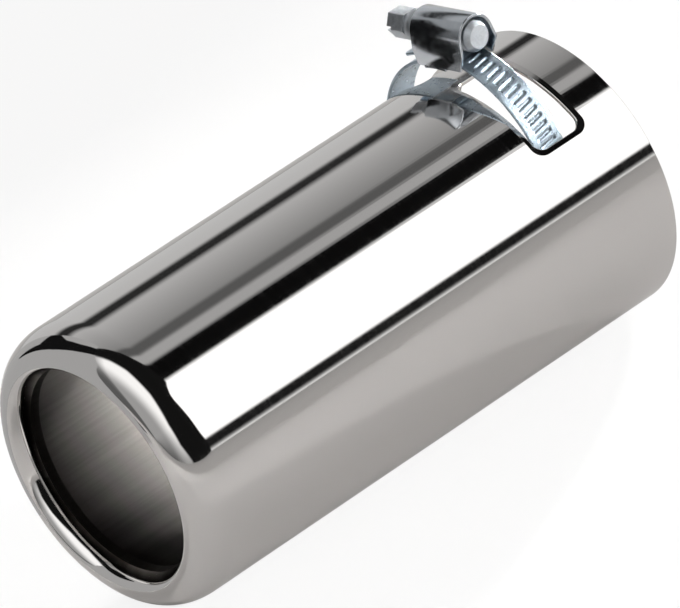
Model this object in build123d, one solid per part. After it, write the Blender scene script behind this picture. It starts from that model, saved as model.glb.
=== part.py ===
from build123d import *
import os
from math import acos, asin, atan2, cos, degrees, radians, sin

# Exhaust tip: a polished steel tube with a rolled-in outlet lip, held on the tail pipe by a
# worm-drive hose clamp that passes through two long slots near the inlet.
# Frame: the tube's axis is Y, the inlet rim lies in the plane Y = 0 and the outlet points to -Y.
# +Z goes up through the middle of the clamp. Sizes are in millimetres, angles in degrees.

# Tube
tube_radius = 38.0
tube_length = 161.0
wall = 1.2
rim_break = 0.3

# Rolled outlet lip: an outer quarter turn to the front, an inner quarter turn back and a short free edge
nose_depth = 10.1
nose_width = 7.0
roll_depth = 5.0
roll_width = 3.1
lip_edge_length = 3.0

# Slots for the clamp band, one on each side of a bridge of tube wall
slot_width = 14.6
slot_front = 28.4
slot_corner_radius = 3.0
slot_end_clearance = 2.0
bridge_width = 13.2
bridge_turn = -4.5

# Clamp band: a steel strip that hugs the tail pipe below and arches over the tube above
pipe_radius = 27.0
band_width = 9.0
band_thickness = 0.8
band_seat_clearance = 0.3
arch_stand = 6.5
arch_spread = 1.2
overlap_lift = 2.6
overlap_start = 70.0
fixed_end_angle = 12.0
free_end_angle = -19.0
band_corner_radius = 1.6

# Pressed thread of the band
notch_pitch = 2.2
notch_length = 5.2
notch_width = 1.0
notch_depth = 0.4
notch_slant = 9.0
notch_end_margin = 2.6
notch_run = 62.0

# Folded housing over the band
housing_length = 18.6
housing_shift = 3.1
housing_sheet = 0.8
housing_side_clearance = 0.6
housing_base_clearance = 0.1
barrel_clearance = 0.9
skirt_height = 3.2
skirt_drop = 1.3
skirt_cut = 2.8
strap_length = 8.0
end_wall = 1.2
end_wall_lift = 0.8

# Worm screw with a flared collar and a slotted hexagon head
worm_radius = 3.9
worm_clearance = 0.6
worm_end_gap = 0.3
worm_overhang = 1.2
worm_point_length = 1.6
worm_point_radius = 3.1
neck_radius = 2.5
neck_clearance = 0.1
collar_radius = 4.5
collar_thickness = 2.0
flare_length = 2.6
head_across_flats = 7.0
head_length = 6.2
head_chamfer = 0.5
head_slot_width = 1.2
head_slot_depth = 2.0

# Worked out from the sizes above
inner_radius = tube_radius - wall
seat_radius = pipe_radius + band_thickness
arch_radius = seat_radius + arch_spread
seat_height = inner_radius - pipe_radius
arch_height = tube_radius + arch_stand - arch_radius
side_lean = degrees(asin(arch_spread / (arch_height - seat_height)))
overlap_radius = arch_radius + overlap_lift
overlap_x = -overlap_lift * sin(radians(overlap_start))
overlap_height = arch_height - overlap_lift * cos(radians(overlap_start))
band_front = slot_front - band_seat_clearance
band_middle = band_front - band_width / 2
screw_height = overlap_height + overlap_radius + worm_radius + worm_clearance
housing_left = housing_shift - housing_length / 2
housing_right = housing_shift + housing_length / 2


def arch_crossing(radius):
    """Angle from the tube's top where the arch's outer face crosses a circle about the tube's axis."""
    cosine = (radius**2 - arch_radius**2 - arch_height**2) / (2 * arch_height * arch_radius)
    turn = acos(cosine)
    return degrees(atan2(arch_radius * sin(turn), arch_height + arch_radius * cosine))


def polar(center, radius, angle):
    """Point on a circle in the X-Z plane; angle 0 is +X and 90 is straight up."""
    return center[0] + radius * cos(radians(angle)), center[1] + radius * sin(radians(angle))


def make_tip_shell():
    """Tube and rolled lip turned as one sheet profile, with the two slots punched through the wall."""
    nose_start = nose_depth - tube_length
    roll_start = roll_depth - tube_length
    apex_radius = tube_radius - nose_width
    hole_radius = apex_radius - roll_width
    outside = [
        Line((tube_radius, -rim_break), (tube_radius, nose_start)),
        EllipticalCenterArc((apex_radius, nose_start), nose_width, nose_depth, 270, arc_size=90),
        EllipticalCenterArc((apex_radius, roll_start), roll_width, roll_depth, 180, arc_size=90),
        Line((hole_radius, roll_start), (hole_radius, roll_start + lip_edge_length)),
    ]
    # The sheet's hidden inner face turns the lip in straight runs
    half_turn = sin(radians(45))
    inside = Polyline(
        (hole_radius, roll_start + lip_edge_length),
        (hole_radius + wall, roll_start + lip_edge_length),
        (hole_radius + wall, roll_start),
        (apex_radius, wall - tube_length),
        (apex_radius + (nose_width - wall) * half_turn, nose_start - (nose_depth - wall) * half_turn),
        (inner_radius, nose_start),
        (inner_radius, 0),
        (tube_radius - rim_break, 0),
        (tube_radius, -rim_break),
    )
    shell = revolve(make_face(outside + inside.edges()), Axis.Y)
    bridge_half = degrees(asin(bridge_width / 2 / tube_radius))
    inside_edge = bridge_turn + bridge_half
    outside_edge = arch_crossing(inner_radius) + degrees(slot_end_clearance / inner_radius)
    half_span = (outside_edge - inside_edge) / 2
    from_bridge = (outside_edge + inside_edge) / 2 - bridge_turn
    slot_length = 2 * tube_radius * sin(radians(half_span))
    slot_depth = tube_radius * (1 - cos(radians(half_span))) + 2 * wall
    for side in (1, -1):
        lean = bridge_turn + side * from_bridge
        top = Rot(0, lean, 0) * Pos(0, slot_width / 2 - slot_front, tube_radius + wall)
        punch = extrude(RectangleRounded(slot_length, slot_width, slot_corner_radius), -slot_depth - wall)
        shell -= top * punch
    return shell


def band_face_edges(inset):
    """Edges of one face of the band, from its fixed end round the pipe to its free end."""
    arch = (0, arch_height)
    seat = (0, seat_height)
    lift = (overlap_x, overlap_height)
    start = 90 - fixed_end_angle
    left = 180 + side_lean
    lifted = 90 - overlap_start
    return [
        CenterArc(arch, arch_radius - inset, start, left - start),
        Line(polar(arch, arch_radius - inset, left), polar(seat, seat_radius - inset, left)),
        CenterArc(seat, seat_radius - inset, left, 180 - 2 * side_lean),
        Line(polar(seat, seat_radius - inset, -side_lean), polar(arch, arch_radius - inset, -side_lean)),
        CenterArc(arch, arch_radius - inset, -side_lean, lifted + side_lean),
        CenterArc(lift, overlap_radius - inset, lifted, overlap_start - free_end_angle),
    ]


def notch_places():
    """Point and outward direction of each pressed notch, from the free end back along the band."""
    lift_angle = overlap_start - free_end_angle
    lift_run = radians(lift_angle) * overlap_radius
    count = int((notch_run - notch_end_margin) / notch_pitch) + 1
    for index in range(count):
        along = notch_end_margin + index * notch_pitch
        if along < lift_run:
            angle = 90 - free_end_angle - degrees(along / overlap_radius)
            yield polar((overlap_x, overlap_height), overlap_radius, angle), angle
        else:
            angle = 90 - overlap_start - degrees((along - lift_run) / arch_radius)
            yield polar((0, arch_height), arch_radius, angle), angle


def make_clamp_band():
    """One strip: from under the housing, round the pipe, up through the near slot and over itself."""
    outer = band_face_edges(0)
    inner = band_face_edges(band_thickness)
    fixed_end = Line(outer[0] @ 0, inner[0] @ 0)
    free_end = Line(outer[-1] @ 1, inner[-1] @ 1)
    strip = extrude(Plane.XZ * make_face(outer + inner + [fixed_end, free_end]), band_width)
    corners = strip.edges().filter_by(lambda edge: abs(edge.length - band_thickness) < band_thickness / 100)
    strip = Pos(0, band_width - band_front, 0) * fillet(corners, band_corner_radius)
    notches = []
    for (x, z), angle in notch_places():
        place = Pos(x, -band_middle, z) * Rot(0, 90 - angle, 0) * Rot(0, 0, notch_slant)
        notches.append(place * Box(notch_width, notch_length, 2 * notch_depth))
    return strip - notches


def housing_section(barrel_radius, half_width):
    """Inverted U, filled: a round barrel over the screw that flares to the upright skirts beside the band."""
    band_top = tube_radius + arch_stand
    skirt_size = skirt_height + skirt_drop
    skirt = Pos(0, band_top + (skirt_height - skirt_drop) / 2) * Rectangle(2 * half_width, skirt_size)
    barrel = Pos(0, screw_height) * Circle(barrel_radius)
    return make_hull(skirt.edges() + barrel.edges())


def make_clamp_housing():
    """Folded housing: barrel, skirts, an end wall for the screw's neck and a strap under the band."""
    bore = worm_radius + barrel_clearance
    inner_half = band_width / 2 + housing_side_clearance
    across = Plane((housing_left, -band_middle, 0), x_dir=(0, 1, 0), z_dir=(1, 0, 0))
    outside = across * housing_section(bore + housing_sheet, inner_half + housing_sheet)
    inside = across * housing_section(bore, inner_half)
    folded = extrude(outside, housing_length) - extrude(inside, housing_length)
    skirt_top = tube_radius + arch_stand + skirt_height
    skirt_low = tube_radius + arch_stand - skirt_drop
    corner = Polyline(
        (housing_right - skirt_cut, skirt_low),
        (housing_right, skirt_low),
        (housing_right, skirt_top),
        close=True,
    )
    folded -= extrude(Plane.XZ.offset(band_middle) * make_face(corner), band_width, both=True)
    wall_low = overlap_height + overlap_radius + end_wall_lift
    wall_box = Pos(housing_left, -band_middle, wall_low + bore) * Box(2 * end_wall, 2 * bore, 2 * bore)
    neck_hole = Pos(housing_left, -band_middle, screw_height) * Rot(0, 90, 0)
    closing = extrude(inside, end_wall) & wall_box
    closing -= neck_hole * Cylinder(neck_radius + neck_clearance, 4 * end_wall)
    strap_top = arch_radius - band_thickness - housing_base_clearance
    strap_width = 2 * (inner_half + housing_sheet)
    about_arch = Pos(0, -band_middle, arch_height) * Rot(90, 0, 0)
    strap = about_arch * (Cylinder(strap_top, strap_width) - Cylinder(strap_top - housing_sheet, strap_width))
    strap &= Pos(0, -band_middle, tube_radius + arch_stand) * Box(strap_length, strap_width, arch_stand)
    return folded + closing + strap


def make_clamp_screw():
    """Worm screw: hexagon head with a driver slot, flared collar, neck in the end wall, worm and point."""
    collar_face = housing_left - worm_end_gap
    flare_face = collar_face - collar_thickness
    head_face = flare_face - flare_length
    neck_end = housing_left + end_wall + worm_end_gap
    point_end = housing_right + worm_overhang
    turned = [
        (head_face, 0),
        (head_face, head_across_flats / 2),
        (flare_face, collar_radius),
        (collar_face, collar_radius),
        (collar_face, neck_radius),
        (neck_end, neck_radius),
        (neck_end, worm_radius),
        (point_end - worm_point_length, worm_radius),
        (point_end, worm_point_radius),
        (point_end, 0),
    ]
    shank = revolve(make_face(Polyline(*turned, close=True)), Axis.X)
    head = extrude(Plane.YZ * RegularPolygon(head_across_flats / 2, 6, major_radius=False), -head_length)
    head = chamfer(head.faces().sort_by(Axis.X)[0].edges(), head_chamfer)
    slot_place = Pos(head_slot_depth / 2 - head_length, 0, 0)
    head -= slot_place * Box(head_slot_depth, 2 * head_across_flats, head_slot_width)
    screw = shank + Pos(head_face, 0, 0) * head
    return Pos(0, -band_middle, screw_height) * screw


nodes = {
    "tip_shell": make_tip_shell(),
    "clamp_band": make_clamp_band(),
    "clamp_housing": make_clamp_housing(),
    "clamp_screw": make_clamp_screw(),
}
os.makedirs("parts", exist_ok=True)
for name, solid in nodes.items():
    export_step(solid, f"parts/{name}.step")
    print(name, len(solid.solids()), "solid", round(solid.volume, 1), "mm3")
print("pipe seat", pipe_radius, "at height", round(seat_height, 3), "band middle", round(-band_middle, 3))
print("screw axis height", round(screw_height, 3), "housing from", housing_left, "to", housing_right)
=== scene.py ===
# %% [markdown]
# # Exhaust tip, looks
#
# The object is a polished steel exhaust tip: a straight tube whose outlet edge is rolled inwards, with a
# worm-drive hose clamp threaded through two slots near its inlet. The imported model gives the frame: every
# piece here is made in metres, in that frame, and rides on one of its bodies.
#
# Mirror-bright metal shows every facet, so each solid gets a smooth piece of the same size in its place.

# %% Load the frame
import bmesh
import bpy
import math
from mathutils import Matrix, Vector


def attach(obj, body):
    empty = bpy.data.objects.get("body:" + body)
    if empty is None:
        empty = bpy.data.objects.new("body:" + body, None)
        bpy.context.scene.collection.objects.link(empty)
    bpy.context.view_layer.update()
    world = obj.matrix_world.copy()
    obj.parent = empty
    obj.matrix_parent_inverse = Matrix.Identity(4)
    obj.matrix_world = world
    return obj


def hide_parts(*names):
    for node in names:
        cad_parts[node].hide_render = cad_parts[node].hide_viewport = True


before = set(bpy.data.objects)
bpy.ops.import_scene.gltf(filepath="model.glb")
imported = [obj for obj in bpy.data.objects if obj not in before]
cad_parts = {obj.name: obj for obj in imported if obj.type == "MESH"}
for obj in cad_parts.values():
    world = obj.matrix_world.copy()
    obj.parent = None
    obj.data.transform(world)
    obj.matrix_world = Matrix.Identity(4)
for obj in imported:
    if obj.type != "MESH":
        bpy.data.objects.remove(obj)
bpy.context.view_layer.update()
MM = 0.001

# %% [markdown]
# ## Helpers for a finished piece
#
# A bmesh is only a workshop: when a shape is done it becomes a mesh on an object at the origin, shaded
# smooth with its real edges kept sharp. The object then rides on its body and stands for the solid it
# replaces.

# %% From a bmesh to a piece


def shade(mesh, sharp):
    """Smooth shading, with every edge over an angle in degrees kept sharp."""
    mesh.shade_smooth()
    mesh.set_sharp_from_angle(angle=math.radians(sharp))


def finish_piece(bm, name, sharp=35):
    """Turn a bmesh into a smooth-shaded object."""
    bmesh.ops.recalc_face_normals(bm, faces=bm.faces[:])
    mesh = bpy.data.meshes.new(name)
    bm.to_mesh(mesh)
    bm.free()
    shade(mesh, sharp)
    piece = bpy.data.objects.new(name, mesh)
    bpy.context.scene.collection.objects.link(piece)
    print(name, len(mesh.vertices), "vertices", len(mesh.polygons), "faces")
    return piece


def stand_in(piece, node, body):
    """The piece takes a solid's place on its body."""
    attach(piece, body)
    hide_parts(node)


# %% [markdown]
# Three steps come back in several pieces, so each is written once: a row of points joined by edges, a row
# of edges drawn out into a strip of faces, and one piece cut out of another. The cut is a Boolean
# modifier. Its result is made the piece's own mesh at once, so no modifier is left to change it later.

# %% Steps that come back


def chain(bm, points):
    """Vertices joined in a row by edges."""
    verts = [bm.verts.new(p) for p in points]
    return verts + [bm.edges.new(pair) for pair in zip(verts, verts[1:])]


def draw_out(bm, edges, step):
    """Extrude a row of edges by a step, and give the new row's vertices and edges."""
    made = bmesh.ops.extrude_edge_only(bm, edges=edges)["geom"]
    moved = [g for g in made if isinstance(g, bmesh.types.BMVert)]
    row = [g for g in made if isinstance(g, bmesh.types.BMEdge) and all(v in moved for v in g.verts)]
    bmesh.ops.translate(bm, vec=step, verts=moved)
    return moved, row


def bake_modifiers(piece, sharp):
    """Replace a piece's mesh by what its modifiers make of it."""
    graph = bpy.context.evaluated_depsgraph_get()
    made = bpy.data.meshes.new_from_object(piece.evaluated_get(graph))
    piece.modifiers.clear()
    piece.data = made
    shade(made, sharp)


def cut_away(piece, cutters, sharp):
    """Take the cutters out of a piece, and throw them away."""
    for cutter in cutters:
        cut = piece.modifiers.new(cutter.name, "BOOLEAN")
        cut.operation = "DIFFERENCE"
        cut.solver = "EXACT"
        cut.object = cutter
    bake_modifiers(piece, sharp)
    for cutter in cutters:
        bpy.data.objects.remove(cutter)


# %% [markdown]
# ## Tube and rolled lip
#
# The real tip is spun or rolled from one sheet: the outlet edge turns forward and then back in on itself.
# A cylinder with a subdivided rim would only come near that. It is a solid of revolution, so half a
# section turned about the tube's axis gives it exactly.
#
# The section is two skins, spun one after the other, because they have different finishes. The outside is
# buffed to a mirror, over the nose and as far down the roll as the wheel reaches. The rest is left as the
# sheet came.

# %% Section of the tube
TUBE_R = 38.0 * MM
TUBE_L = 161.0 * MM
WALL = 1.2 * MM
NOSE_W, NOSE_D = 7.0 * MM, 10.1 * MM
ROLL_W, ROLL_D = 3.1 * MM, 8.0 * MM
RIM_BREAK = 0.3 * MM
QUARTER_STEPS = 24
BUFFED_STEPS = 19  # how many of the roll's steps the buffing wheel reaches
mid_wall = TUBE_R - WALL / 2
nose_at = (TUBE_R - NOSE_W, NOSE_D - TUBE_L)
roll_at = (TUBE_R - NOSE_W, ROLL_D - TUBE_L)


def quarter(center, wide, deep, start):
    """Points of a quarter oval in the X-Y plane, from a start angle in degrees, turning clockwise."""
    angles = [math.radians(start - 90 * k / QUARTER_STEPS) for k in range(QUARTER_STEPS + 1)]
    return [(center[0] + wide * math.cos(a), center[1] + deep * math.sin(a), 0) for a in angles]


roll = quarter(roll_at, ROLL_W, ROLL_D, 270)
outer_skin = [(mid_wall, 0, 0), (TUBE_R - RIM_BREAK, 0, 0), (TUBE_R, -RIM_BREAK, 0)]
outer_skin += quarter(nose_at, NOSE_W, NOSE_D, 0)
outer_skin += roll[1:BUFFED_STEPS + 1]
inner_skin = roll[BUFFED_STEPS:]
inner_skin += quarter(roll_at, ROLL_W - WALL, ROLL_D - WALL, 270)[::-1]
inner_skin += quarter(nose_at, NOSE_W - WALL, NOSE_D - WALL, 0)[::-1][1:]
inner_skin += [(TUBE_R - WALL, 0, 0), (mid_wall, 0, 0)]
print("outlet hole", round(2 * roll[-1][0] / MM, 1), "mm across")

# %% Spin the two skins
TUBE_STEPS = 288
TUBE_SHARP = 9
MERGE = 0.002 * MM
shell_bm = bmesh.new()
for finish, skin in enumerate((outer_skin, inner_skin)):
    before = set(shell_bm.faces)
    bmesh.ops.spin(shell_bm, geom=chain(shell_bm, skin), cent=(0, 0, 0), axis=(0, 1, 0),
                   angle=math.tau, steps=TUBE_STEPS, use_merge=True)
    for face in set(shell_bm.faces) - before:
        face.material_index = finish
bmesh.ops.remove_doubles(shell_bm, verts=shell_bm.verts[:], dist=MERGE)
tip_shell = finish_piece(shell_bm, "tip_shell_polished", sharp=TUBE_SHARP)

# %% [markdown]
# ## Slots for the clamp
#
# Two long slots are punched through the wall, one on each side of a bridge that carries the clamp. A
# punch drags the sheet's edge down with it, and that rolled-over edge draws a dark line round the slot in
# the mirror finish.
#
# A square cut with a bevel along its edge would do, but a bevel stumbles over the small faces that a
# Boolean leaves. So the punch here is a rounded block with a flared shoulder, bent to the tube's curve:
# taken away, it leaves the hole and its soft edge in one cut.

# %% Sizes of the slots
SLOT_W = 14.6 * MM
SLOT_FRONT = 28.4 * MM
SLOT_R = 3.0 * MM
BRIDGE_TURN = -4.5  # degrees, as are the next two
SLOT_FROM_BRIDGE = 33.1
SLOT_SPAN = 46.2
SLOT_CUTS = 40
CORNER_STEPS = 16
PUNCH_BELOW, PUNCH_ABOVE = 4.0 * MM, 6.0 * MM
EDGE_W, EDGE_SLOPE = 1.5 * MM, math.radians(12.5)
EDGE_ROUND = [(0, 0), (0.05 * MM, 0.1 * MM), (0.16 * MM, 0.17 * MM)]
round_w, round_d = EDGE_ROUND[-1]
edge_d = round_d + (EDGE_W - round_w) * math.tan(EDGE_SLOPE)
flare = [(0, -PUNCH_BELOW), *EDGE_ROUND, (EDGE_W, edge_d), (EDGE_W, PUNCH_ABOVE)]
slot_length = TUBE_R * math.radians(SLOT_SPAN)
print("slots", round(slot_length / MM, 1), "mm long, edge", round(edge_d / MM, 2), "mm deep")

# %% Punch the slots


def slot_punch(name, lean):
    """A flared, rounded block through the wall, leaning some degrees from straight up towards +X."""
    bm = bmesh.new()
    bmesh.ops.create_grid(bm, x_segments=1, y_segments=1, size=0.5)
    bmesh.ops.scale(bm, vec=(slot_length, SLOT_W, 1), verts=bm.verts[:])
    bmesh.ops.bevel(bm, geom=bm.verts[:], offset=SLOT_R, offset_type="OFFSET", affect="VERTICES",
                    segments=CORNER_STEPS, profile=0.5, material=-1)
    bmesh.ops.delete(bm, geom=bm.faces[:], context="FACES_ONLY")
    long_sides = [e for e in bm.edges if abs(e.verts[0].co.x - e.verts[1].co.x) > SLOT_R]
    bmesh.ops.subdivide_edges(bm, edges=long_sides, cuts=SLOT_CUTS)
    bmesh.ops.translate(bm, vec=(0, 0, TUBE_R - edge_d - PUNCH_BELOW), verts=bm.verts[:])
    ring = bm.edges[:]
    for (wide, rise), (wider, higher) in zip(flare, flare[1:]):
        moved, ring = draw_out(bm, ring, (0, 0, higher - rise))
        grow = [(size + 2 * wider) / (size + 2 * wide) for size in (slot_length, SLOT_W)]
        bmesh.ops.scale(bm, vec=(*grow, 1), verts=moved)
    bmesh.ops.holes_fill(bm, edges=[e for e in bm.edges if e.is_boundary], sides=0)
    bmesh.ops.translate(bm, vec=(0, SLOT_W / 2 - SLOT_FRONT, 0), verts=bm.verts[:])
    for vert in bm.verts:
        turn, radius = vert.co.x / TUBE_R + math.radians(lean), vert.co.z
        vert.co.x, vert.co.z = radius * math.sin(turn), radius * math.cos(turn)
    return finish_piece(bm, name)


near_punch = slot_punch("punch_near", BRIDGE_TURN + SLOT_FROM_BRIDGE)
far_punch = slot_punch("punch_far", BRIDGE_TURN - SLOT_FROM_BRIDGE)
cut_away(tip_shell, (near_punch, far_punch), TUBE_SHARP)
stand_in(tip_shell, "tip_shell", "tip")
print("tube with its slots", len(tip_shell.data.polygons), "faces")

# %% [markdown]
# ## Clamp band
#
# The band is one strip of spring-bright steel. It starts under the housing, goes down through the far
# slot, round the tail pipe, up through the near slot and over its own start.
#
# A curve with a flat profile could follow that path, but its rows would fall where the curve puts them,
# and the pressed thread needs fine, even rows. So the strip's section is spun about one centre after
# another, with a straight run between the arch and the pipe's seat.

# %% Path of the band
PIPE_R = 27.0 * MM
BAND_W, BAND_T = 9.0 * MM, 0.8 * MM
BAND_Y = -23.6 * MM
ARCH_R, ARCH_Z = 29.0 * MM, 15.5 * MM
SEAT_R = PIPE_R + BAND_T
SEAT_Z = TUBE_R - WALL - PIPE_R
LIFT = 2.6 * MM  # how much wider the free end is bent, to pass over the strip's start
LIFT_TURN = math.radians(70)
FREE_TURN = math.radians(-19)
FIXED_TURN = math.radians(12)


def out_from(center, radius, turn):
    """Point at a turn from straight up towards +X, about an axis along Y."""
    return center + radius * Vector((math.sin(turn), 0, math.cos(turn)))


arch_at = Vector((0, BAND_Y, ARCH_Z))
seat_at = Vector((0, BAND_Y, SEAT_Z))
lift_at = out_from(arch_at, -LIFT, LIFT_TURN)
lift_r = ARCH_R + LIFT
right_turn = math.pi / 2 + math.asin((ARCH_R - SEAT_R) / (ARCH_Z - SEAT_Z))
drop = out_from(seat_at, SEAT_R, right_turn) - out_from(arch_at, ARCH_R, right_turn)
print("straight runs", round(drop.length / MM, 1), "mm")

# %% Section of the band
BAND_EDGE = 0.22 * MM
BAND_EDGE_STEPS = 3
FACE_CUTS = 31
NEARLY = 0.01 * MM
half_w = BAND_W / 2
band_bm = bmesh.new()
corners = [band_bm.verts.new((0, y, z)) for y, z in
           ((-half_w, 0), (half_w, 0), (half_w, -BAND_T), (-half_w, -BAND_T))]
band_bm.faces.new(corners)
bmesh.ops.bevel(band_bm, geom=corners, offset=BAND_EDGE, offset_type="OFFSET", affect="VERTICES",
                segments=BAND_EDGE_STEPS, profile=0.5, material=-1)
top_edge = [e for e in band_bm.edges if all(v.co.z > -NEARLY for v in e.verts)]
bmesh.ops.subdivide_edges(band_bm, edges=top_edge, cuts=FACE_CUTS)
bmesh.ops.delete(band_bm, geom=band_bm.faces[:], context="FACES_ONLY")
bmesh.ops.translate(band_bm, vec=out_from(arch_at, ARCH_R, 0), verts=band_bm.verts[:])
bmesh.ops.rotate(band_bm, cent=arch_at, matrix=Matrix.Rotation(FIXED_TURN, 3, "Y"), verts=band_bm.verts[:])
print("section", len(band_bm.verts), "points")

# %% Bend the strip along its path
START_ROWS, SEAT_ROWS = 72, 96
RISE_ROWS, FREE_ROWS = 80, 245  # about 0.2 mm each, fine enough for the pressed thread


def bend(row, center, start, end, steps):
    """Carry the section round a centre from one turn to another."""
    return bmesh.ops.spin(band_bm, geom=row, cent=center, axis=(0, 1, 0), angle=end - start,
                          steps=steps)["geom_last"]


def run(row, step):
    """Carry the section along a straight run."""
    moved, edges = draw_out(band_bm, [g for g in row if isinstance(g, bmesh.types.BMEdge)], step)
    return moved + edges


row = bend(band_bm.verts[:] + band_bm.edges[:], arch_at, FIXED_TURN, -right_turn, START_ROWS)
row = run(row, Vector((-drop.x, 0, drop.z)))
row = bend(row, seat_at, -right_turn, right_turn - math.tau, SEAT_ROWS)
row = run(row, -drop)
row = bend(row, arch_at, right_turn, LIFT_TURN, RISE_ROWS)
bend(row, lift_at, LIFT_TURN, FREE_TURN, FREE_ROWS)
bmesh.ops.holes_fill(band_bm, edges=[e for e in band_bm.edges if e.is_boundary], sides=0)
print("band", len(band_bm.faces), "faces")

# %% [markdown]
# ## Pressed thread
#
# The worm bites into slanted notches that a die has pressed into the free end. Each notch is a shallow
# dent with sloping sides. Cutting nearly thirty dents with a Boolean would leave a ragged mesh, so the
# fine rows of the strip's outer face are pushed in where a notch lies. The corners of the free end are
# cut round in the same way.

# %% Where a point lies on the free end
NOTCH_PITCH = 2.2 * MM
NOTCH_HALF = 0.62 * MM
NOTCH_REACH = 2.6 * MM
NOTCH_DEPTH = 0.3 * MM
NOTCH_START, NOTCH_END = 2.6 * MM, 62.0 * MM
NOTCH_SLANT = math.tan(math.radians(9))
SIDE_STEEPNESS = 1.5
END_SLOPE = 0.5 * MM
END_R = 1.6 * MM
TURN_SPARE = 0.01
FACE_SPARE = 0.9 * MM  # a little over the strip's thickness
lift_run = (LIFT_TURN - FREE_TURN) * lift_r


def on_free_end(point):
    """A point's way along the strip from its free end, its spoke and its arc's radius, or None."""
    spoke = Vector((point.x - lift_at.x, 0, point.z - lift_at.z))
    turn = math.atan2(spoke.x, spoke.z)
    if FREE_TURN - TURN_SPARE <= turn <= LIFT_TURN and abs(spoke.length - lift_r) < FACE_SPARE:
        return (turn - FREE_TURN) * lift_r, spoke, lift_r
    spoke = Vector((point.x - arch_at.x, 0, point.z - arch_at.z))
    turn = math.atan2(spoke.x, spoke.z)
    if LIFT_TURN < turn <= right_turn and point.x >= 0:
        return lift_run + (turn - LIFT_TURN) * ARCH_R, spoke, ARCH_R
    return None


print("thread", round((NOTCH_END - NOTCH_START) / NOTCH_PITCH), "notches")

# %% Press the notches
pressed = 0
for vert in band_bm.verts:
    place = on_free_end(vert.co)
    if place is None:
        continue
    along, spoke, radius = place
    across = vert.co.y - BAND_Y
    if along < END_R:
        from_corner = END_R - max(along, 0)
        vert.co.y = BAND_Y + across * (half_w - END_R + math.sqrt(END_R**2 - from_corner**2)) / half_w
    if spoke.length < radius - NEARLY or not NOTCH_START - NOTCH_PITCH / 2 < along < NOTCH_END:
        continue
    beat = (along + across * NOTCH_SLANT - NOTCH_START) / NOTCH_PITCH
    off = abs(beat - round(beat)) * NOTCH_PITCH / NOTCH_HALF
    side = (NOTCH_REACH - abs(across)) / END_SLOPE
    depth = NOTCH_DEPTH * max(0, min(1, SIDE_STEEPNESS * (1 - off))) * max(0, min(1, side))
    vert.co -= spoke.normalized() * depth
    pressed += depth > 0
clamp_band = finish_piece(band_bm, "clamp_band_strip", sharp=45)
stand_in(clamp_band, "clamp_band", "tip")
print("notch points pressed", pressed)

# %% [markdown]
# ## Clamp housing
#
# The housing is one folded sheet: a round barrel over the worm, upright skirts beside the band, an end
# wall that carries the screw's neck and a strap under the band. A block hollowed out would lose the even
# thickness that shows at its open end. So its section, an arc with two legs, is drawn out along the screw
# and thickened to the sheet, and a Bevel modifier rounds the edges at the end.

# %% Sizes of the housing
SCREW_Z = 50.711 * MM
HOUSE_X0, HOUSE_X1 = -6.2 * MM, 12.4 * MM
SHEET = 0.8 * MM
BARREL_R = 5.6 * MM
BARREL_STEPS = 40
SIDE_HALF, SKIRT_HALF = 6.2 * MM, 5.8 * MM
SKIRT_TOP, SKIRT_LOW = 47.7 * MM, 43.2 * MM
SKIRT_CUT = 2.8 * MM
screw_at = Vector((0, BAND_Y, SCREW_Z))
to_fold = math.hypot(SIDE_HALF, SKIRT_TOP - SCREW_Z)
shoulder = math.atan2(SKIRT_TOP - SCREW_Z, SIDE_HALF) + math.acos(BARREL_R / to_fold)
print("the sides leave the barrel", round(math.degrees(shoulder), 1), "degrees above level")

# %% Section of the housing
house_bm = bmesh.new()
barrel_start = Vector((HOUSE_X0, BARREL_R * math.cos(shoulder), BARREL_R * math.sin(shoulder)))
bmesh.ops.spin(house_bm, geom=[house_bm.verts.new(screw_at + barrel_start)], cent=screw_at, axis=(1, 0, 0),
               angle=math.pi - 2 * shoulder, steps=BARREL_STEPS)
for side in (1, -1):
    last = max(house_bm.verts, key=lambda v: side * (v.co.y - BAND_Y) - v.co.z)
    for half, height in ((SIDE_HALF, SKIRT_TOP), (SKIRT_HALF, SKIRT_LOW)):
        corner = house_bm.verts.new((HOUSE_X0, BAND_Y + side * half, height))
        house_bm.edges.new((last, corner))
        last = corner
print("housing section", len(house_bm.verts), "points")

# %% Draw the section out and thicken it
far_end, _ = draw_out(house_bm, house_bm.edges[:], (HOUSE_X1 - HOUSE_X0, 0, 0))
for vert in far_end:
    if vert.co.z < SKIRT_LOW + NEARLY:
        vert.co.x -= SKIRT_CUT
bmesh.ops.recalc_face_normals(house_bm, faces=house_bm.faces[:])
crown = max(house_bm.faces, key=lambda f: f.calc_center_median().z)
if crown.normal.z < 0:
    bmesh.ops.reverse_faces(house_bm, faces=house_bm.faces[:])
bmesh.ops.solidify(house_bm, geom=house_bm.faces[:], thickness=SHEET)
print("housing top", round(max(v.co.z for v in house_bm.verts) / MM, 2), "mm")

# %% End wall
END_WALL_R, NECK_HOLE_R = 4.8 * MM, 2.6 * MM
END_WALL_LOW = 47.0 * MM
END_WALL_T = 1.2 * MM
END_WALL_STEPS = 64
end_wall_at = screw_at + Vector((HOUSE_X0, 0, 0))
facing_screw = Matrix.Translation(end_wall_at) @ Matrix.Rotation(math.pi / 2, 4, "Y")
rim, hole = (bmesh.ops.create_circle(house_bm, segments=END_WALL_STEPS, radius=radius,
                                     matrix=facing_screw)["verts"] for radius in (END_WALL_R, NECK_HOLE_R))
for vert in rim:
    vert.co.z = max(vert.co.z, END_WALL_LOW)
both_rings = list({e for v in rim + hole for e in v.link_edges})
plate = bmesh.ops.bridge_loops(house_bm, edges=both_rings)["faces"]
thick = bmesh.ops.extrude_face_region(house_bm, geom=plate)["geom"]
bmesh.ops.translate(house_bm, vec=(END_WALL_T, 0, 0),
                    verts=[g for g in thick if isinstance(g, bmesh.types.BMVert)])
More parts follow.
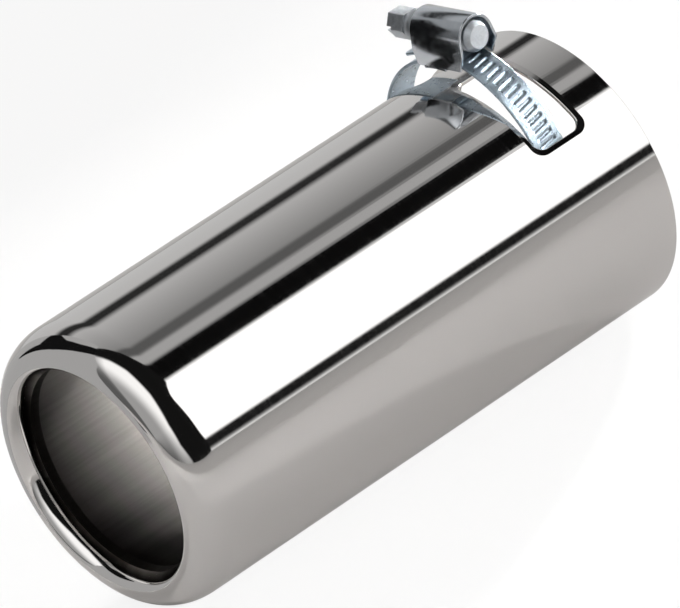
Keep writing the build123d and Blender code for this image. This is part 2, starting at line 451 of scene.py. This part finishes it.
print("end wall", len(plate), "faces")

# %% Strap and rounded edges
STRAP_GAP = 0.1 * MM
STRAP_HALF = 4.0 * MM
STRAP_STEPS = 10
FOLD_SHARP = 40
FOLD_EDGE = 0.22 * MM
strap_r = ARCH_R - BAND_T - STRAP_GAP
strap_turn = math.asin(STRAP_HALF / strap_r)
strap_face = house_bm.faces.new([
    house_bm.verts.new(out_from(arch_at, strap_r - depth, -strap_turn) + Vector((0, y, 0)))
    for y, depth in ((-SKIRT_HALF, 0), (SKIRT_HALF, 0), (SKIRT_HALF, SHEET), (-SKIRT_HALF, SHEET))])
bmesh.ops.spin(house_bm, geom=[strap_face], cent=arch_at, axis=(0, 1, 0), angle=2 * strap_turn,
               steps=STRAP_STEPS)
clamp_housing = finish_piece(house_bm, "clamp_housing_folded", sharp=FOLD_SHARP)
soft_edge = clamp_housing.modifiers.new("rounded edges", "BEVEL")
soft_edge.width = FOLD_EDGE
soft_edge.segments = 3
soft_edge.limit_method = "ANGLE"
soft_edge.angle_limit = math.radians(FOLD_SHARP)
bake_modifiers(clamp_housing, FOLD_SHARP)
stand_in(clamp_housing, "clamp_housing", "tip")
print("housing with rounded edges", len(clamp_housing.data.polygons), "faces")

# %% [markdown]
# ## Clamp screw
#
# The screw is turned from bar: a slotted hexagon head, a flared collar against the end wall, a thin neck,
# the worm and a blunt point. Stacked cylinders would leave their seams open. One profile spun about the
# screw's axis gives the whole round part in one skin.

# %% Profile of the screw
COLLAR_FACE = HOUSE_X0 - 0.3 * MM
FLARE_FACE = COLLAR_FACE - 2.0 * MM
HEAD_FACE = FLARE_FACE - 2.6 * MM
HEAD_END = HEAD_FACE - 6.2 * MM
NECK_END = HOUSE_X0 + 1.5 * MM
POINT_END = HOUSE_X1 + 1.2 * MM
FLARE_R, COLLAR_R, NECK_R = 3.5 * MM, 4.5 * MM, 2.5 * MM
WORM_ROOT, WORM_CREST = 3.2 * MM, 4.1 * MM
POINT_R, TIP_R = 3.9 * MM, 2.95 * MM
EASE, CHAMFER = 0.2 * MM, 0.3 * MM
profile = [  # place along the axis and radius, from the head to the point
    (HEAD_FACE - EASE, 0), (HEAD_FACE - EASE, FLARE_R - EASE), (HEAD_FACE, FLARE_R),
    (FLARE_FACE - EASE, COLLAR_R - 0.08 * MM), (FLARE_FACE + CHAMFER, COLLAR_R),
    (COLLAR_FACE - CHAMFER, COLLAR_R), (COLLAR_FACE, COLLAR_R - CHAMFER),
    (COLLAR_FACE, NECK_R), (NECK_END, NECK_R),
    (NECK_END + 0.5 * MM, WORM_ROOT), (POINT_END - 2.4 * MM, WORM_ROOT),
    (POINT_END - 2.1 * MM, POINT_R - 0.05 * MM), (POINT_END - 1.6 * MM, POINT_R),
    (POINT_END - EASE, TIP_R + EASE), (POINT_END, TIP_R), (POINT_END, 0),
]
print("screw", round((POINT_END - HEAD_END) / MM, 1), "mm long")

# %% Turn the shank
ROUND_STEPS = 96
screw_bm = bmesh.new()
half_section = chain(screw_bm, [(x, BAND_Y, SCREW_Z + r) for x, r in profile])
bmesh.ops.spin(screw_bm, geom=half_section, cent=screw_at, axis=(1, 0, 0), angle=math.tau,
               steps=ROUND_STEPS, use_merge=True)
bmesh.ops.remove_doubles(screw_bm, verts=screw_bm.verts[:], dist=MERGE)
print("shank", len(screw_bm.faces), "faces")

# %% [markdown]
# The thread is a small ridge spun about the same axis while it steps along it, which is just what a lathe
# does. Its foot lies inside the worm's root, so no gap shows along it.

# %% Cut the worm's thread
THREAD_STEPS = 48
THREAD_STOP = 1.0 * MM
FOOT_HALF, FLANK_HALF, CREST_HALF, CREST_EASE = 0.85 * MM, 0.7 * MM, 0.2 * MM, 0.08 * MM
FOOT_SUNK, FLANK_RISE = 0.3 * MM, 0.1 * MM
turns = (POINT_END - THREAD_STOP - NECK_END - NOTCH_PITCH) / NOTCH_PITCH
steps = int(turns * THREAD_STEPS)
half_ridge = [(FOOT_HALF, WORM_ROOT - FOOT_SUNK), (FLANK_HALF, WORM_ROOT + FLANK_RISE),
              (CREST_HALF + CREST_EASE, WORM_CREST - CREST_EASE), (CREST_HALF, WORM_CREST)]
ridge = [(-x, r) for x, r in half_ridge] + half_ridge[::-1]
ridge_face = screw_bm.faces.new([
    screw_bm.verts.new((NECK_END + NOTCH_PITCH / 2 + x, BAND_Y, SCREW_Z + r)) for x, r in ridge])
bmesh.ops.spin(screw_bm, geom=[ridge_face], cent=screw_at, axis=(1, 0, 0),
               angle=math.tau * steps / THREAD_STEPS, dvec=(NOTCH_PITCH / THREAD_STEPS, 0, 0), steps=steps)
print("thread turns", round(turns, 1))

# %% [markdown]
# The head is a six-sided cone with no taper. Its end is bevelled first and its six long edges after that,
# so the two roundings meet cleanly, and a thin block cuts the slot for a screwdriver.

# %% Hexagon head
HEAD_AF = 7.0 * MM
HEAD_CHAMFER, HEAD_EDGE = 0.5 * MM, 0.25 * MM
DRIVER_BLOCK = (4.0 * MM, 12.0 * MM, 1.2 * MM)  # half its length goes into the head
SCREW_SHARP = 30
corner_r = HEAD_AF / math.sqrt(3)
head_middle = screw_at + Vector(((HEAD_FACE + HEAD_END) / 2, 0, 0))
hex_bm = bmesh.new()
bmesh.ops.create_cone(hex_bm, cap_ends=True, segments=6, radius1=corner_r, radius2=corner_r,
                      depth=HEAD_FACE - HEAD_END)
bmesh.ops.rotate(hex_bm, cent=(0, 0, 0), matrix=Matrix.Rotation(math.pi / 2, 3, "Y"), verts=hex_bm.verts[:])
bmesh.ops.translate(hex_bm, vec=head_middle, verts=hex_bm.verts[:])
end_edges = [e for e in hex_bm.edges if all(v.co.x < HEAD_END + NEARLY for v in e.verts)]
bmesh.ops.bevel(hex_bm, geom=end_edges, offset=HEAD_CHAMFER, offset_type="OFFSET", affect="EDGES",
                segments=4, profile=0.5, material=-1)
long_edges = [e for e in hex_bm.edges if abs(e.verts[0].co.x - e.verts[1].co.x) > 2 * HEAD_CHAMFER]
bmesh.ops.bevel(hex_bm, geom=long_edges, offset=HEAD_EDGE, offset_type="OFFSET", affect="EDGES",
                segments=3, profile=0.5, material=-1)
head = finish_piece(hex_bm, "head_blank")

# %% Driver slot, and the whole screw
slot_bm = bmesh.new()
bmesh.ops.create_cube(slot_bm, size=1)
bmesh.ops.scale(slot_bm, vec=DRIVER_BLOCK, verts=slot_bm.verts[:])
bmesh.ops.translate(slot_bm, vec=screw_at + Vector((HEAD_END, 0, 0)), verts=slot_bm.verts[:])
cut_away(head, [finish_piece(slot_bm, "driver_slot")], SCREW_SHARP)
screw_bm.from_mesh(head.data)
bpy.data.objects.remove(head)
clamp_screw = finish_piece(screw_bm, "clamp_screw_turned", sharp=SCREW_SHARP)
stand_in(clamp_screw, "clamp_screw", "screw")

# %% [markdown]
# ## Materials
#
# Everything here is metal, so what the eye reads is reflection: how sharp it is, and how it breaks up.
# Colours are written as the sRGB values seen on a screen and turned to linear light. Every pattern is
# worked out from a size in millimetres on the real surface.

# %% Colour and node helpers


def srgb(code):
    """Linear colour of an sRGB hex value."""
    parts = [int(code[i:i + 2], 16) / 255 for i in (1, 3, 5)]
    return tuple(c / 12.92 if c <= 0.04045 else ((c + 0.055) / 1.055) ** 2.4 for c in parts) + (1.0,)


def grey(light):
    """An even grey of a given linear light."""
    return light, light, light, 1.0


def add(tree, kind, settings=(), links=()):
    """Add a node, set its properties, inputs or ramp stops, and link sockets into its inputs."""
    node = tree.nodes.new(kind)
    for key, value in dict(settings).items():
        if key == "stops":
            node.color_ramp.elements.remove(node.color_ramp.elements[1])
            for k, (place, light) in enumerate(value):
                stop = node.color_ramp.elements.new(place) if k else node.color_ramp.elements[0]
                stop.position = place
                stop.color = grey(light)
        elif isinstance(key, str) and hasattr(node, key):
            setattr(node, key, value)
        else:
            node.inputs[key].default_value = value
    for key, socket in dict(links).items():
        tree.links.new(socket, node.inputs[key])
    return node


def metal(name, base, roughness):
    """A bare metal: its colour and roughness on the shader's own sockets."""
    made = bpy.data.materials.new(name)
    made.use_nodes = True
    shader = made.node_tree.nodes["Principled BSDF"]
    shader.inputs["Base Color"].default_value = srgb(base)
    shader.inputs["Metallic"].default_value = 1.0
    shader.inputs["Roughness"].default_value = roughness
    print(name, base)
    return made, made.node_tree, shader


# %% [markdown]
# ### Buffed stainless steel
#
# The outside is stainless steel buffed on a wheel until it is almost a mirror. What keeps it from looking
# like glass is a faint haze: buffing leaves hair lines round the tube. They are much finer than a render
# shows, so they are drawn about 0.4 mm wide, coarser than they are, and only just change the roughness.

# %% Buffed steel
HAIR_W, HAIR_L = 0.4 * MM, 50 / 3 * MM
buffed, tree, shader = metal("Buffed stainless steel", "#d6d4d2", 0.06)
where = add(tree, "ShaderNodeTexCoord")
stretch = add(tree, "ShaderNodeMapping", {"Scale": (1 / HAIR_L, 1 / HAIR_W, 1 / HAIR_L)},
              {"Vector": where.outputs["Object"]})
lines = add(tree, "ShaderNodeTexNoise", {"Scale": 1.0, "Detail": 3.0},
            {"Vector": stretch.outputs["Vector"]})
haze = add(tree, "ShaderNodeMapRange",
           {"From Min": 0.3, "From Max": 0.75, "To Min": 0.035, "To Max": 0.085},
           {"Value": lines.outputs["Fac"]})
tree.links.new(haze.outputs["Result"], shader.inputs["Roughness"])
tip_shell.data.materials.append(buffed)

# %% [markdown]
# ### Mill-finish steel inside
#
# The inside is left as the sheet came from the mill: grey and dull, with rolling streaks along the tube
# about a millimetre wide. Towards the outlet its colour is darkened with painted shade, almost black at the
# lip and lighter on the upper side, and gone about 30 mm further in. It gives the eye a deep hole with a
# dark edge. The painted shade only darkens the metal's own colour, so the light inside still plays on it.

# %% Mill-finish steel
STREAK_W, STREAK_L = 10 / 9 * MM, 40.0 * MM
# The dark colour here is painted shade, laid on the inside towards the outlet.
BARE, PAINTED_SHADE = "#c4c0bc", "#201e1c"
SHADE_END, SHADE_LENGTH = 155.0 * MM, 33.0 * MM
SHADE_LEAN = 0.2  # how much sooner the painted shade ends for each millimetre up
SHADE_FALL = 2.1  # over 1, so the dark holds on near the lip
mill, tree, shader = metal("Mill-finish stainless steel, painted shade at outlet", BARE, 0.93)
where = add(tree, "ShaderNodeTexCoord")
stretch = add(tree, "ShaderNodeMapping", {"Scale": (1 / STREAK_W, 1 / STREAK_L, 1 / STREAK_W)},
              {"Vector": where.outputs["Object"]})
streaks = add(tree, "ShaderNodeTexNoise", {"Scale": 1.0, "Detail": 4.0},
              {"Vector": stretch.outputs["Vector"]})
dull = add(tree, "ShaderNodeMapRange",
           {"From Min": 0.3, "From Max": 0.7, "To Min": 0.91, "To Max": 1.0},
           {"Value": streaks.outputs["Fac"]})
tree.links.new(dull.outputs["Result"], shader.inputs["Roughness"])

# %% Painted shade towards the outlet
axes = add(tree, "ShaderNodeSeparateXYZ", links={"Vector": where.outputs["Object"]})
inward = add(tree, "ShaderNodeMath", {"operation": "MULTIPLY_ADD", 1: SHADE_LEAN},
             {0: axes.outputs["Z"], 2: axes.outputs["Y"]})
clear = add(tree, "ShaderNodeMapRange", {"From Min": -SHADE_END, "From Max": SHADE_LENGTH - SHADE_END},
            {"Value": inward.outputs[0]})
shade_fade = add(tree, "ShaderNodeMath", {"operation": "POWER", 1: SHADE_FALL}, {0: clear.outputs["Result"]})
# Painted shade mixed into the base colour: dark at the lip, lighter higher up, none further in.
tone = add(tree, "ShaderNodeMix", {"data_type": "RGBA", "A": srgb(PAINTED_SHADE), "B": srgb(BARE)},
           {"Factor": shade_fade.outputs[0]})
tree.links.new(tone.outputs["Result"], shader.inputs["Base Color"])
tip_shell.data.materials.append(mill)
print("tube finishes", [made.name for made in tip_shell.data.materials])

# %% [markdown]
# ### Bright zinc plate
#
# The clamp is steel with a thin bright zinc coat: a cool, slightly blue metal, less sharp than the buffed
# tube, with small cloudy crystals. They are drawn about a millimetre across, coarser than they are, so
# that they show. The screw's coat is duller and more mottled, because screws are plated in a heap. One
# noise drives both the tone and the roughness, since on the real coat a crystal changes both at once.

# %% Zinc finishes


def zinc(name, base, pale, low, high, grain):
    """Zinc plate: cloudy crystals of a grain size in metres that shift its tone and roughness."""
    made, tree, shader = metal(name, base, (low + high) / 2)
    where = add(tree, "ShaderNodeTexCoord")
    cloud = add(tree, "ShaderNodeTexNoise", {"Scale": 1 / grain, "Detail": 4.0, "Roughness": 0.6},
                {"Vector": where.outputs["Object"]})
    rough = add(tree, "ShaderNodeMapRange",
                {"From Min": 0.3, "From Max": 0.7, "To Min": low, "To Max": high},
                {"Value": cloud.outputs["Fac"]})
    tree.links.new(rough.outputs["Result"], shader.inputs["Roughness"])
    tone = add(tree, "ShaderNodeMix", {"data_type": "RGBA", "A": srgb(base), "B": srgb(pale)},
               {"Factor": cloud.outputs["Fac"]})
    tree.links.new(tone.outputs["Result"], shader.inputs["Base Color"])
    return made


clamp_band.data.materials.append(
    zinc("Bright zinc plate, band", "#a9bac8", "#c4d2dd", 0.26, 0.32, 1.2 * MM))
clamp_housing.data.materials.append(
    zinc("Bright zinc plate, housing", "#b9c0c8", "#d2d6da", 0.1, 0.2, 1.5 * MM))
clamp_screw.data.materials.append(
    zinc("Dull zinc plate, screw", "#a0a6ac", "#dbdfe3", 0.36, 0.58, 0.9 * MM))

# %% [markdown]
# ## Studio
#
# A mirror has no tone of its own: it shows the room. The tip lies on a white table, with a long soft
# light behind it to the right, another overhead in front, and darker walls between them.
#
# ### Table
#
# The table is a real floor, so that the lower side of the tube shows it and it takes the tip's shadow.
# Matt white paper under soft light renders a pale grey. The camera sees most of it as plain white, which
# Light Path gives, and a mirror sees a little of that white as well. The rest of its tone is the paper's
# own, and keeps the shadow.

# %% Table
TABLE_HALF = 6.0
TABLE_GAP = 0.1 * MM
floor_bm = bmesh.new()
bmesh.ops.create_grid(floor_bm, x_segments=1, y_segments=1, size=TABLE_HALF,
                      matrix=Matrix.Translation((0, 0, -TUBE_R - TABLE_GAP)))
table = finish_piece(floor_bm, "table")

# %% White paper on the table
WHITE = srgb("#ffffff")
SEEN_WHITE, MIRRORED_WHITE = 0.87, 0.1
paper = bpy.data.materials.new("White table")
paper.use_nodes = True
tree = paper.node_tree
matt = tree.nodes["Principled BSDF"]
matt.inputs["Base Color"].default_value = srgb("#d2cfcd")
matt.inputs["Roughness"].default_value = 0.9
matt.inputs["Specular IOR Level"].default_value = 0.0
path = add(tree, "ShaderNodeLightPath")
glow = add(tree, "ShaderNodeEmission", {"Color": WHITE, "Strength": 1.0})
seen = add(tree, "ShaderNodeMath", {"operation": "MAXIMUM"},
           {0: path.outputs["Is Camera Ray"], 1: path.outputs["Is Transmission Ray"]})
share = add(tree, "ShaderNodeMath", {"operation": "MULTIPLY", 1: SEEN_WHITE}, {0: seen.outputs[0]})
with_mirrored = add(tree, "ShaderNodeMath", {"operation": "MULTIPLY_ADD", 1: MIRRORED_WHITE},
                    {0: path.outputs["Is Glossy Ray"], 2: share.outputs[0]})
white = add(tree, "ShaderNodeMixShader",
            links={0: with_mirrored.outputs[0], 1: matt.outputs[0], 2: glow.outputs[0]})
tree.links.new(white.outputs[0], tree.nodes["Material Output"].inputs["Surface"])
table.data.materials.append(paper)
print(paper.name, "with", len(tree.nodes), "nodes")

# %% [markdown]
# ### Room
#
# The walls and soft lights could be big planes round the table, but each one would throw shadows and
# block other views. They are far away, so only their direction counts, and they are drawn in the world
# instead. Two numbers give a direction: its turn round the tube's axis, and how far it points along the
# tube.

# %% Directions in the room
room = bpy.data.worlds.new("Studio room")
bpy.context.scene.world = room
room.use_nodes = True
tree = room.node_tree
where = add(tree, "ShaderNodeTexCoord")
axes = add(tree, "ShaderNodeSeparateXYZ", links={"Vector": where.outputs["Generated"]})
turn = add(tree, "ShaderNodeMath", {"operation": "ARCTAN2"}, {0: axes.outputs["X"], 1: axes.outputs["Z"]})
round_axis = add(tree, "ShaderNodeMapRange", {"From Min": -math.pi, "From Max": math.pi},
                 {"Value": turn.outputs[0]})
along_tube = add(tree, "ShaderNodeMath", {"operation": "ADD", 1: 1.0}, {0: axes.outputs["Y"]})
print(room.name, "by turn and along the tube")

# %% [markdown]
# The tube's straight side mirrors the rear of the room, so tones by turn come out as long stripes on it:
# the bright one is the long light, with a dark gap on each side. The nose bends away and mirrors the
# front of the room, which fades towards straight ahead.

# %% Walls and lights by turn


def by_turn(*stops):
    """Ramp stops from turns in degrees, straight up being 0 and +X being 90."""
    return {"stops": [((degrees + 180) / 360, light) for degrees, light in stops]}


turned = {"Fac": round_axis.outputs[0]}
rear = add(tree, "ShaderNodeValToRGB", by_turn(
    (-115, 0.65), (-61, 0.65), (-56, 0.03), (-49, 0.03), (-43, 0.6), (-9, 0.33), (-6, 0.13), (1, 0.13),
    (4, 0.5), (11, 0.5), (14, 0.004), (28.5, 0.004), (30.5, 1.7), (80, 1.7), (81, 0.012), (88, 0.012),
    (90, 1.1)), turned)
front = add(tree, "ShaderNodeValToRGB", by_turn(
    (-100, 0.42), (-34, 0.42), (-21, 0.55), (-11, 1.4), (60, 1.4), (89, 0.5)), turned)
fade = add(tree, "ShaderNodeMapRange", {"interpolation_type": "SMOOTHSTEP", "From Min": -0.85,
                                        "From Max": -0.42, "To Min": 0.33, "To Max": 1.0},
           {"Value": axes.outputs["Y"]})
faded_front = add(tree, "ShaderNodeVectorMath", {"operation": "SCALE"},
                  {"Vector": front.outputs["Color"], "Scale": fade.outputs["Result"]})
print("rear stops", len(rear.color_ramp.elements), "front stops", len(front.color_ramp.elements))

# %% [markdown]
# Between front and rear hangs a dark belt, and the nose shows it as the black line that runs round it.
# Its two edges are not straight, so each is a ramp too: its value is where the edge lies along the tube,
# at each turn. Only mirrors and lit surfaces see the room. Light Path shows the camera plain white in its
# place.

# %% Dark belt
BELT_LIGHT = 0.009
TOP_BLUR, LOW_BLUR = 0.03, -0.1
belt_top = add(tree, "ShaderNodeValToRGB", by_turn(
    (-24, 0.88), (-20, 0.92), (-15, 1.02), (-5, 1.17), (8, 1.31), (16, 1.4), (28, 1.46), (31.5, 1.46),
    (36, 1.38), (41, 1.31), (46, 1.295), (62, 1.37), (75, 1.41), (81, 1.45)), turned)
belt_low = add(tree, "ShaderNodeValToRGB", by_turn(
    (-30, 1.0), (-22, 0.72), (-18, 0.72), (-6, 0.81), (9, 0.87), (33, 0.82), (58, 0.63), (75, 0.61),
    (89, 0.75)), turned)


def past(edge, blur):
    """How far a direction lies past an edge of the belt: 0 on the edge, 1 where its blur ends."""
    beyond = add(tree, "ShaderNodeMath", {"operation": "SUBTRACT"},
                 {0: along_tube.outputs[0], 1: edge.outputs["Color"]})
    eased = add(tree, "ShaderNodeMapRange", {"interpolation_type": "SMOOTHSTEP", "From Max": blur},
                {"Value": beyond.outputs[0]})
    return eased.outputs["Result"]


with_rear = add(tree, "ShaderNodeMix", {"data_type": "RGBA", "A": grey(BELT_LIGHT)},
                {"Factor": past(belt_top, TOP_BLUR), "B": rear.outputs["Color"]})
with_front = add(tree, "ShaderNodeMix", {"data_type": "RGBA"},
                 {"Factor": past(belt_low, LOW_BLUR), "A": with_rear.outputs["Result"],
                  "B": faded_front.outputs["Vector"]})
path = add(tree, "ShaderNodeLightPath")
seen = add(tree, "ShaderNodeMix", {"data_type": "RGBA", "B": WHITE},
           {"Factor": path.outputs["Is Camera Ray"], "A": with_front.outputs["Result"]})
tree.links.new(seen.outputs["Result"], tree.nodes["Background"].inputs["Color"])
print("room nodes", len(tree.nodes))

# %% [markdown]
# ### Cards and cloth
#
# A photographer shapes a mirror's edges with things close by: a white card to lift a dark side, a black
# flag to draw a line, a black cloth to take the table out of the reflection. Things this near can't be
# drawn in the world, because from each point of the lip they lie in another direction. So they are sheets
# bridged between two rows of points. They show in reflections only: the camera doesn't see them, and they
# cast no shadow.

# %% Sheets beside the lip


def prop(name, strength, edge, other_edge):
    """A sheet of even tone between two rows of points, seen in reflections only."""
    bm = bmesh.new()
    chain(bm, edge)
    chain(bm, other_edge)
    bmesh.ops.bridge_loops(bm, edges=bm.edges[:])
    sheet = finish_piece(bm, name)
    sheet.visible_camera = False
    sheet.visible_shadow = False
    sheet.visible_diffuse = False
    look = bpy.data.materials.new(name)
    look.use_nodes = True
    tree = look.node_tree
    glow = add(tree, "ShaderNodeEmission", {"Color": WHITE, "Strength": strength})
    tree.links.new(glow.outputs[0], tree.nodes["Material Output"].inputs["Surface"])
    sheet.data.materials.append(look)


# %% White card and black flag
CARD_LIGHT, BLACK_LIGHT = 0.5, 0.008
FLOOR_Z = -TUBE_R
CARD_X, CARD_TOP = -0.07, 0.262
CARD_ENDS = (-0.15, -0.34)
FLAG_X = CARD_X + 0.5 * MM
FLAG_NEAR = [(-0.1665, 0.03), (-0.167, 0.057), (-0.15, 0.07), (-0.15, 0.088), (-0.166, 0.105),
             (-0.175, 0.15), (-0.176, CARD_TOP)]
FLAG_FAR = [(-0.169, 0.03), (-0.186, 0.057), (-0.194, 0.07), (-0.201, 0.088), (-0.206, 0.105),
            (-0.218, 0.15), (-0.237, CARD_TOP)]
prop("white_card", CARD_LIGHT, *([(CARD_X, y, FLOOR_Z), (CARD_X, y, CARD_TOP)] for y in CARD_ENDS))
prop("black_flag", BLACK_LIGHT, *([(FLAG_X, y, z) for y, z in edge] for edge in (FLAG_NEAR, FLAG_FAR)))

# %% Black cloth
CLOTH_Z = FLOOR_Z + 0.2 * MM
CLOTH_NEAR, CLOTH_FAR, CLOTH_TOP = -0.1, -0.5, 0.42
CLOTH_ENDS = (-0.14, -0.55)
hang = [(CLOTH_NEAR, CLOTH_Z), (CLOTH_FAR, CLOTH_Z), (CLOTH_FAR, CLOTH_TOP)]
prop("black_cloth", BLACK_LIGHT, *([(x, y, z) for x, z in hang] for y in CLOTH_ENDS))

# %% [markdown]
# ### Lamps
#
# The room lights the tip from all round, which leaves two things undone. A large soft lamp over the table
# gives the tip a shadow to lie on; mirrors don't see it. And no light from the room gets far into the
# tube, so two narrow spots behind the inlet shine in through it and light the inside alone.

# %% Lamps over the table and behind the inlet


def hang_lamp(name, kind, power, place, aim, settings):
    """A lamp at a place, turned towards an aim."""
    lamp = bpy.data.lights.new(name, kind)
    lamp.energy = power
    for key, value in settings.items():
        setattr(lamp, key, value)
    holder = bpy.data.objects.new(name, lamp)
    holder.location = place
    holder.rotation_euler = (Vector(aim) - holder.location).to_track_quat("-Z", "Y").to_euler()
    bpy.context.scene.collection.objects.link(holder)
    print(name, power, "W")
    return holder


OVER_TABLE = {"shape": "RECTANGLE", "size": 1.6, "size_y": 1.2}
INTO_INLET = {"shadow_soft_size": 0.2, "spot_size": math.radians(4.4), "spot_blend": 0.3}
soft_lamp = hang_lamp("soft lamp", "AREA", 7, (-0.7, -0.1, 1.3), (0, -0.08, 0), OVER_TABLE)
soft_lamp.visible_glossy = False
hang_lamp("lamp behind, right", "SPOT", 3700, (0.34, 0.84, 0.16), (0, 0, 0), INTO_INLET)
hang_lamp("lamp behind, left", "SPOT", 3000, (-0.32, 0.82, 0.28), (0, 0, 0), INTO_INLET)

# %% [markdown]
# ## Camera
#
# The photo was taken with a long lens from the outlet side, to the right and above, with the camera
# tilted so that the tube runs up the picture. Its place was worked out from the outlines of the tube's
# two ends.

# %% Camera
SENSOR, LENS = 36.0, 541.6
EYE_AT = (1.8652, -1.3726, 1.0157)
EYE_RIGHT = Vector((0.6452, 0.7118, -0.2780)).normalized()
EYE_BACK = Vector((0.7502, -0.5209, 0.4073)).normalized()
camera = bpy.data.cameras.new("camera")
camera.sensor_width = SENSOR
camera.lens = LENS
camera.clip_start, camera.clip_end = 0.1, 20
up = EYE_BACK.cross(EYE_RIGHT).normalized()
looking = Matrix((up.cross(EYE_BACK), up, EYE_BACK)).transposed().to_4x4()
eye = bpy.data.objects.new("camera", camera)
eye.matrix_world = Matrix.Translation(EYE_AT) @ looking
bpy.context.scene.collection.objects.link(eye)
bpy.context.scene.camera = eye
bpy.context.scene.view_settings.view_transform = "Standard"
print("camera", round(eye.matrix_world.translation.length, 2), "m away")
